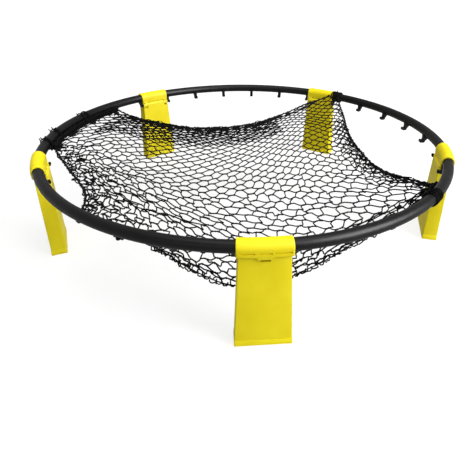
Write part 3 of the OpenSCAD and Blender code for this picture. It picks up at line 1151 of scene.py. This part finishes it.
    def parted(self, lines: list[Array]) -> tuple[list[Array], list[Array]]:
        """Parts lines at the height where the net climbs over the tube.

        Args:
            lines: The net's cords.

        Returns:
            The stretches below the height and those above it.
        """
        low, high = [], []
        for line in lines:
            over = line[:, 2] > SPLIT_Z
            cuts = [0, *(np.flatnonzero(np.diff(over)) + 1), len(line)]
            for start, end in zip(cuts, cuts[1:]):
                stretch = line[start:end + 1]
                if len(stretch) > 1:
                    (high if over[start] else low).append(stretch)
        return low, high

    def knot_mesh(self) -> Mesh:
        """Makes one knot: a lump with a turn of cord across it.

        Returns:
            The knot's mesh.
        """
        shape = bmesh.new()
        bmesh.ops.create_uvsphere(shape, u_segments=8, v_segments=5, radius=1)
        for v in shape.verts:
            v.co *= 1 + 0.16 * math.cos(3.4 * v.co.x + 2.2 * v.co.y)
        bmesh.ops.scale(shape, vec=(self.knot_half * MM * 1.15, 1.75 * MM, 1.65 * MM), verts=shape.verts)
        return to_mesh(shape, "knot")

    def knot_object(self, name: str, knots: Array, places: list[tuple[int, int]]) -> Piece:
        """Sets a knot at each place, turned along the net.

        Args:
            name: The piece's name.
            knots: The grid of knots.
            places: Which of them get one.

        Returns:
            The piece.
        """
        one = self.knot_mesh()
        along, slack = self.along(knots), self.slack()
        shape = bmesh.new()
        for i, j in places:
            turn = Vector(along[i, j]).to_track_quat("X", "Z").to_matrix().to_4x4()
            for reach, axis in ((0.6, "X"), (0.3, "Z")):
                turn = turn @ Matrix.Rotation(self.rng.uniform(-reach, reach), 4, axis)
            turn = turn @ Matrix.Scale(self.rng.uniform(0.85, 1.15) * (0.8 + 0.25 * slack[i, j]), 4)
            first = len(shape.verts)
            shape.from_mesh(one)
            shape.verts.ensure_lookup_table()
            bmesh.ops.transform(shape, matrix=Matrix.Translation(Vector(knots[i, j])) @ turn,
                                verts=shape.verts[first:])
        bpy.data.meshes.remove(one)
        mesh = bpy.data.meshes.new(name)
        shape.to_mesh(mesh)
        shape.free()
        mesh.shade_smooth()
        return add_object(name, mesh)

    def doubled(self, knots: Array) -> list[Array]:
        """Gives the net that lies folded double beside the stretched back and right edges.

        Args:
            knots: The grid of knots.

        Returns:
            The cords' centre lines.
        """
        lines = []
        for grid, (first, last, rows, squeeze) in zip((knots, knots.transpose(1, 0, 2)), self.folds):
            part = (grid[first:last, :rows + 2] + grid[first + 1:last + 1, :rows + 2]) / 2
            where = np.arange(rows + 1) * squeeze
            low = where.astype(int)
            share = (where - low)[None, :, None]
            fold = part[:, low] * (1 - share) + part[:, low + 1] * share
            fold = fold + self.rng.uniform(-1, 1, fold.shape) * np.array([3.0, 3.0, 2.0]) * MM
            fold[..., 2] += 3 * MM
            lines += self.strands(fold, np.full(fold.shape[:2], 0.35))
        return lines

    def bunches(self, knots: Array) -> list[Array]:
        """Gives the cords that lie bunched beside the stretched back and right edges.

        Args:
            knots: The grid of knots.

        Returns:
            The cords' centre lines.
        """
        lines = []
        for grid, (count, first, last, wide) in zip((knots, knots.transpose(1, 0, 2)), self.bunched):
            for _ in range(count):
                row = self.rng.uniform(0, wide)
                points = []
                for k in range(first, last):
                    row = min(max(row + self.rng.uniform(-0.8, 0.8), 0), wide)
                    low = int(row)
                    points.append(grid[k, low] + (grid[k, low + 1] - grid[k, low]) * (row - low))
                lines.append(smooth_line(np.array(points), 3))
        return lines

    def build(self, cord: Material) -> tuple[Piece, list[Piece], Array]:
        """Makes the net's cords and knots.

        Args:
            cord: The cords' material.

        Returns:
            The net, the pieces that go with it, and the grid of knots.
        """
        knots = self.shaken(self.knots())
        low, high = self.parted(self.strands(knots, self.slack()) + self.doubled(knots)
                                + self.bunches(knots))
        places = [(i, j) for i in range(self.across + 1) for j in range(self.deep + 1) if (i + j) % 2 == 0]
        net = cord_object("net_cords", low, self.cord_d * MM)
        lower, upper = ([p for p in places if (knots[p][2] > SPLIT_Z) == over] for over in (False, True))
        rest = [cord_object("net_corner", high, self.cord_d * MM),
                self.knot_object("net_knots", knots, lower),
                self.knot_object("net_corner_knots", knots, upper)]
        keep(net, cord, "root", "net_cord", "net")
        for piece in rest:
            keep(piece, cord, "root", "net_cord")
        LOG.info("net: %.1f m of cord in net_cords, %.3f square metres flat by the pattern, %d knots",
                 sum(line_lengths(line)[-1] for line in low), self.cord_area(), len(places))
        return net, rest, knots


@dataclass
class Border:
    """The border cord: laced through the net's edge, round the hooks and over the tube.

    Each winding is given by its angle, its width in degrees, its turns and its layers, and each bundle by
    the angles between which it lies and its number of cords.
    """

    cord_d: float = 3.5
    thin_d: float = 2.4
    lace_r: float = 2.0
    lace_pitch: float = 17
    wound: tuple = ((EDGES.wrap_at, 3.6, 6, 3), (44.6, 4, 5, 1), (247.6, 1.2, 2, 1), (249.8, 0.8, 1.5, 1),
                    (265.2, 1.4, 2.5, 1), (273.2, 1.2, 2, 1))
    frayed: tuple = (EDGES.wrap_at, 248.5, 265.2, 273.2, 44.5)
    bundled: tuple = ((233, 273, 24), (41, 54, 26), (316, 331.5, 4))
    seed: int = 5

    def __post_init__(self) -> None:
        """Starts the source of the small differences."""
        self.rng = np.random.default_rng(self.seed)

    def free(self, points: tuple) -> Array:
        """Gives a free stretch of the border as a smooth line."""
        return smooth_line(EDGES.line(points), 6)

    def path(self) -> Array:
        """Gives the border's way from the tube's wrap round the net and back to it.

        Returns:
            The way's points.
        """
        e = EDGES
        return np.vstack([
            self.free(e.back), *[e.hook_loop(d) for d in e.held_left], self.free(e.left),
            *[e.hook_loop(d) for d in e.held_front], self.free(e.front + e.tail), e.hook_loop(e.held_right),
            self.free(e.right),
        ])

    def lacing(self, path: Array) -> Array:
        """Winds a thin cord round the border.

        Args:
            path: The border's centre line.

        Returns:
            The thin cord's centre line.
        """
        lengths = line_lengths(path)
        count = int(lengths[-1] / (self.lace_pitch * MM) * 8)
        middle = spaced(path, np.linspace(0, 1, count))
        along = np.gradient(middle, axis=0)
        along /= np.linalg.norm(along, axis=1)[:, None]
        aside = np.cross(along, [0, 0, 1])
        aside /= np.linalg.norm(aside, axis=1)[:, None]
        over = np.cross(aside, along)
        turn = np.arange(count) / 8 * 2 * np.pi
        reach = self.lace_r * MM * self.rng.uniform(0.85, 1.25, count)[:, None]
        return middle + reach * (aside * np.cos(turn)[:, None] + over * np.sin(turn)[:, None])

    def frills(self, line: Array) -> list[Array]:
        """Gives the small loops that hang from the slack edge in front.

        Args:
            line: The slack stretch of the border.

        Returns:
            The loops' centre lines.
        """
        lines = []
        for middle in spaced(line, np.linspace(0.02, 0.98, 46)):
            width, drop = self.rng.uniform(3, 6.5), self.rng.uniform(2, 7)
            turn = np.linspace(self.rng.uniform(-0.6, 0), math.pi + self.rng.uniform(0, 0.6), 9)
            lean = self.rng.uniform(-3, 3)
            loop = np.column_stack([width * np.cos(turn), lean * np.sin(turn), -drop * np.sin(turn)])
            lines.append(middle + (loop + self.rng.uniform(-1, 1, loop.shape)) * MM)
        return lines

    def turns(self, deg: float, count: float, width_deg: float, diameter: float) -> Array:
        """Winds a cord round the tube.

        Args:
            deg: Angle of the winding's middle.
            count: How many turns it takes.
            width_deg: How far it advances along the tube.
            diameter: The cord's diameter, in millimetres.

        Returns:
            The cord's centre line.
        """
        steps = int(16 * count)
        phase = self.rng.uniform(0, 360)
        points = []
        wander = np.cumsum(self.rng.uniform(-0.3, 0.3, steps + 1))
        for k in range(steps + 1):
            a = math.radians(phase + 360 * k * count / steps)
            r = SIZES.tube_r + diameter / 2 + 0.15 + 0.8 * abs(math.sin(a * 0.37 + phase))
            place = deg + width_deg * (k / steps - 0.5) + 0.05 * wander[k]
            points.append(at(place, SIZES.ring - r * math.cos(a), SIZES.height - r * math.sin(a)))
        return np.array(points)

    def wraps(self) -> list[Array]:
        """Gives the cords that are wound round the tube where the net is made fast.

        Returns:
            The cords' centre lines.
        """
        lines = []
        for deg, width, count, layers in self.wound:
            for layer in range(layers):
                lines.append(self.turns(deg, count, width, self.thin_d + 1.6 * layer))
        return lines

    def tufts(self, deg: float) -> list[Array]:
        """Gives frayed cord ends that stand off a wrap.

        Args:
            deg: The wrap's angle.

        Returns:
            The ends' centre lines.
        """
        lines = []
        for _ in range(4):
            a = math.radians(self.rng.uniform(20, 160))
            place = deg + self.rng.uniform(-0.8, 0.8)
            lean = self.rng.uniform(-0.7, 0.7, 2)
            points = []
            for k, far in enumerate((12, 15, 18)):
                rise = a + lean[1] * k * 0.2
                points.append(at(place + lean[0] * k * 0.3, SIZES.ring - far * math.cos(rise),
                                 SIZES.height + far * math.sin(rise)))
            lines.append(smooth_line(np.array(points), 3))
        return lines

    def bundle(self, start: float, end: float, count: int) -> list[Array]:
        """Gives loose cords that fill the room between the tube and the net's edge.

        Args:
            start: The angle where they begin.
            end: The angle where they end.
            count: How many cords there are.

        Returns:
            The cords' centre lines.
        """
        lines = []
        steps = int((end - start) / 1.1)
        for _ in range(count):
            points = []
            for k in range(steps + 1):
                a, far = math.radians(self.rng.uniform(-78, -2)), self.rng.uniform(12, 19.5)
                points.append(at(start + (end - start) * k / steps + self.rng.uniform(-0.5, 0.5),
                                 SIZES.ring - far * math.cos(a), SIZES.height + far * math.sin(a)))
            lines.append(smooth_line(np.array(points), 3))
        return lines

    def tangle(self, deg: float) -> list[Array]:
        """Gives loose loops of cord gathered round a hook.

        Args:
            deg: The hook's angle.

        Returns:
            The loops' centre lines.
        """
        lines = []
        for _ in range(5):
            radius = self.rng.uniform(4.2, 7.5)
            tilt = self.rng.uniform(-0.5, 0.5)
            lean = self.rng.uniform(-0.5, 0.5)
            place, rise = deg + self.rng.uniform(-0.4, 0.4), self.rng.uniform(-4, 1)
            middle = at(place, EDGES.loop_rho - 5, SIZES.hook_rest + rise)
            turn = np.linspace(0, 2 * np.pi, 15)
            ring = np.column_stack([np.cos(turn), np.sin(turn), tilt * np.cos(turn) + lean * np.sin(turn)])
            lines.append(middle + ring * radius * MM)
        return lines

    def gathers(self, knots: Array) -> list[Array]:
        """Gives the cords drawn from the net's edge up to the hooks that hold it.

        Args:
            knots: The grid of knots.

        Returns:
            The cords' centre lines.
        """
        grid = knots.reshape(-1, 3)
        lines = []
        for deg in EDGES.hooks():
            hook = at(deg, EDGES.loop_rho - 6, SIZES.hook_rest)
            reach = np.linalg.norm(grid - hook, axis=1)
            for k in np.argsort(reach)[2:12]:
                end = grid[k]
                middle = (hook + end) / 2 + self.rng.uniform(-2, 2, 3) * MM - np.array([0, 0, 1.5 * MM])
                lines.append(smooth_line(np.array([hook, middle, end]), 4))
        return lines

    def build(self, braid: Material, cord: Material,
              knots: Array) -> tuple[list[Piece], list[Piece]]:
        """Makes the border and what is gathered at the hooks and round the tube.

        Args:
            braid: The border's material.
            cord: The thin cords' material.
            knots: The net's grid of knots.

        Returns:
            The border cord and its lacing, and the ends, wraps and loose cords that are on the tube and the
            hooks.
        """
        path = self.path()
        below = path[:, 2] <= SPLIT_Z
        first, last = int(np.argmax(below)), len(path) - int(np.argmax(below[::-1]))
        start, run, end = path[:first + 1], path[first:last], path[last - 1:]
        depth = SIZES.hook_rest * MM - run[:, 2]
        slack = (run[:, 1] < -0.3) & (depth > 8 * MM)
        border = cord_object("border_cord", [run], self.cord_d * MM, 2,
                             1 - 0.4 * ease(depth, 0.004, 0.03) * (run[:, 1] < -0.3))
        cut = [int(k) for k in np.flatnonzero(np.diff(slack))]
        laced = [self.lacing(part) for part in np.split(run, [k + 1 for k in cut])[::2] if len(part) > 3]
        lace = cord_object("border_lacing", laced + self.gathers(knots) + self.frills(run[slack]),
                           self.thin_d * MM)
        ends = cord_object("border_ends", [start, end, self.turns(EDGES.wrap_at, 2.2, 1.9, self.cord_d)],
                           self.cord_d * MM, 2)
        wound = cord_object("border_wraps", self.wraps() + [self.lacing(start), self.lacing(end)],
                            self.thin_d * MM)
        loose = [line for deg in EDGES.hooks() for line in self.tangle(deg)]
        loose += [line for deg in self.frayed for line in self.tufts(deg)]
        loose += [line for span in self.bundled for line in self.bundle(*span)]
        loops = cord_object("hook_tangles", loose, self.thin_d * MM)
        keep(border, braid, "root", "border_cord", "net_border")
        for piece, finish in ((lace, cord), (ends, braid), (wound, cord), (loops, cord)):
            keep(piece, finish, "root", "border_cord")
        return [border, lace], [ends, wound, loops]


# ---- studio ----


@dataclass(frozen=True)
class Studio:
    """The pale floor, the soft lights and the camera."""

    frame_px: int = 460
    focal_px: float = 409.74
    centre_px: tuple[float, float] = (257.35, 222.42)
    eye: Point = (-56.4, -925.6, 532.6)
    yaw: float = 5.37
    pitch: float = 32.24
    roll: float = 0.84
    sensor: float = 36
    floor_r: float = 40
    shadow_r: tuple[float, float] = (0.75, 1.7)
    glow: tuple[float, float] = (0.74, 1)
    floor_tones: tuple[Colour, Colour] = ((0.28, 0.28, 0.28), (0.265, 0.265, 0.266))
    key_at: Point = (2.0, -1.35, 1.5)
    ambient: float = 0.17

    def camera(self) -> None:
        """Sets the camera."""
        data = bpy.data.cameras.new("camera")
        data.sensor_width = self.sensor
        data.lens = self.focal_px / self.frame_px * self.sensor
        data.shift_x = (self.frame_px / 2 - self.centre_px[0]) / self.frame_px
        data.shift_y = (self.centre_px[1] - self.frame_px / 2) / self.frame_px
        data.clip_start, data.clip_end = 0.01, 50
        eye = add_object("camera", data)
        yaw, pitch = math.radians(self.yaw), math.radians(self.pitch)
        ahead = Vector((math.sin(yaw) * math.cos(pitch), math.cos(yaw) * math.cos(pitch), -math.sin(pitch)))
        right = Vector((math.cos(yaw), -math.sin(yaw), 0))
        up = right.cross(ahead)
        roll = math.radians(self.roll)
        across = math.cos(roll) * right + math.sin(roll) * up
        upward = -math.sin(roll) * right + math.cos(roll) * up
        turn = Matrix((across, upward, -ahead)).transposed().to_4x4()
        eye.matrix_world = Matrix.Translation(Vector(self.eye) * MM) @ turn
        bpy.context.scene.camera = eye

    def lamp(self, name: str, place: Point, size: float, power: float, shine_only: bool = False) -> None:
        """Adds a soft lamp that faces the hoop's middle.

        Args:
            name: The lamp's name.
            place: Where it stands, in metres.
            size: The side of its square face, in metres.
            power: Its power, in watts.
            shine_only: Whether it only adds to the shine on a surface.
        """
        data = bpy.data.lights.new(name, "AREA")
        data.shape = "SQUARE"
        data.size = size
        data.energy = power
        light = add_object(name, data)
        light.visible_diffuse = not shine_only
        light.location = place
        light.rotation_mode = "QUATERNION"
        light.rotation_quaternion = (Vector((0, 0, 0.1)) - Vector(place)).to_track_quat("-Z", "Y")

    def white_rays(self, nodes: Nodes) -> Socket:
        """Finds the rays that see the white background: from the camera, off a shine or through glass.

        Args:
            nodes: The node tree that needs to know.

        Returns:
            A socket that gives 1 for those rays and 0 for others.
        """
        rays = nodes.tree.nodes.new("ShaderNodeLightPath").outputs
        seen = rays["Is Camera Ray"]
        for kind in ("Is Glossy Ray", "Is Transmission Ray"):
            seen = nodes.add("Math", "Value", {0: seen, 1: rays[kind]}, operation="ADD", use_clamp=True)
        return seen

    def lights(self) -> None:
        """Sets the lamps and the world."""
        self.lamp("key", self.key_at, 1.4, 68)
        self.lamp("shine", self.key_at, 1.6, 400, shine_only=True)
        self.lamp("top", (0.2, -0.2, 2.9), 2.4, 68)
        self.lamp("fill", (-1.2, -2.6, 1.5), 1.4, 8)
        world = bpy.data.worlds.new("studio")
        bpy.context.scene.world = world
        world.use_nodes = True
        nodes = Nodes(world.node_tree)
        base = nodes.tree.nodes["Background"]
        nodes.fill(base, {"Color": (1, 1, 1, 1), "Strength": self.ambient})
        seen = nodes.add("Background", "Background", {"Color": (1, 1, 1, 1), "Strength": 1})
        mix = nodes.add("MixShader", "Shader", {"Fac": self.white_rays(nodes), 1: base.outputs[0], 2: seen})
        nodes.fill(nodes.tree.nodes["World Output"], {"Surface": mix})

    def floor(self) -> None:
        """Lays the floor, which shades to white round the set."""
        shape = bmesh.new()
        bmesh.ops.create_circle(shape, cap_ends=True, segments=96, radius=self.floor_r)
        piece = add_object("floor", to_mesh(shape, "floor"))
        sheet = Sheet("floor_finish")
        drift = sheet.spread(sheet.noise(300, 2), 0, 1)
        finish = sheet.finish({"Base Color": sheet.mixed(drift, *self.floor_tones), "Roughness": 0.7,
                               "Specular IOR Level": 0.2})
        away = sheet.add("VectorMath", "Value", {0: sheet.place}, operation="LENGTH")
        glow = sheet.spread(away, *self.glow, *self.shadow_r)
        strength = sheet.add("Math", "Value", {0: self.white_rays(sheet), 1: glow}, operation="MULTIPLY")
        light = sheet.add("Emission", "Emission", {"Strength": strength})
        both = sheet.add("AddShader", "Shader", {0: sheet.shader.outputs[0], 1: light})
        sheet.fill(sheet.tree.nodes["Material Output"], {"Surface": both})
        dress(piece, finish)


def main() -> None:
    """Builds and dresses the set."""
    logging.basicConfig(level=logging.INFO, format="%(name)s %(message)s")
    bpy.context.scene.view_settings.view_transform = "Standard"
    studio = Studio()
    studio.camera()
    yellow = MouldedPlastic("yellow_plastic", (0.9, 0.76, 0.014), (0.86, 0.71, 0.008), (0.46, 0.6))
    black = MouldedPlastic("black_plastic", (0.0014, 0.0014, 0.0017), (0.0028, 0.0028, 0.0032), (0.33, 0.42),
                           ripple_depth_mm=0.05, refraction=1.43, shine=(0.14, 0.03))
    cord = CordFinish("net_cord_finish", (0.003, 0.003, 0.0033), (0.006, 0.006, 0.0065), 0.9, 0.35)
    # the braid's second colour is the painted shade in the grooves between its plaits
    braid = BraidFinish("border_braid", (0.005, 0.005, 0.0055), (0.002, 0.002, 0.002), 900)
    steel = TurnedSteel("pin_steel_finish", (0.62, 0.63, 0.65))
    dark_steel = TurnedSteel("screw_steel_finish", (0.5, 0.5, 0.52))
    tube = black.material()
    Hoop().dress({"rim_tube": tube, "hinge_pin": steel.material(), "collar_screws": dark_steel.material()})
    HookWebs().build(tube)
    plastic = yellow.material()
    Collars().build(plastic)
    Legs().build(plastic)
    twine = cord.material()
    netting = Net()
    net, with_net, knots = netting.build(twine)
    soft, fast = Border().build(braid.material(), twine, knots)
    for piece in (net, with_net[1], *soft):
        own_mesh(piece)
    studio.lights()
    studio.floor()


if __name__ == "__main__":
    main()
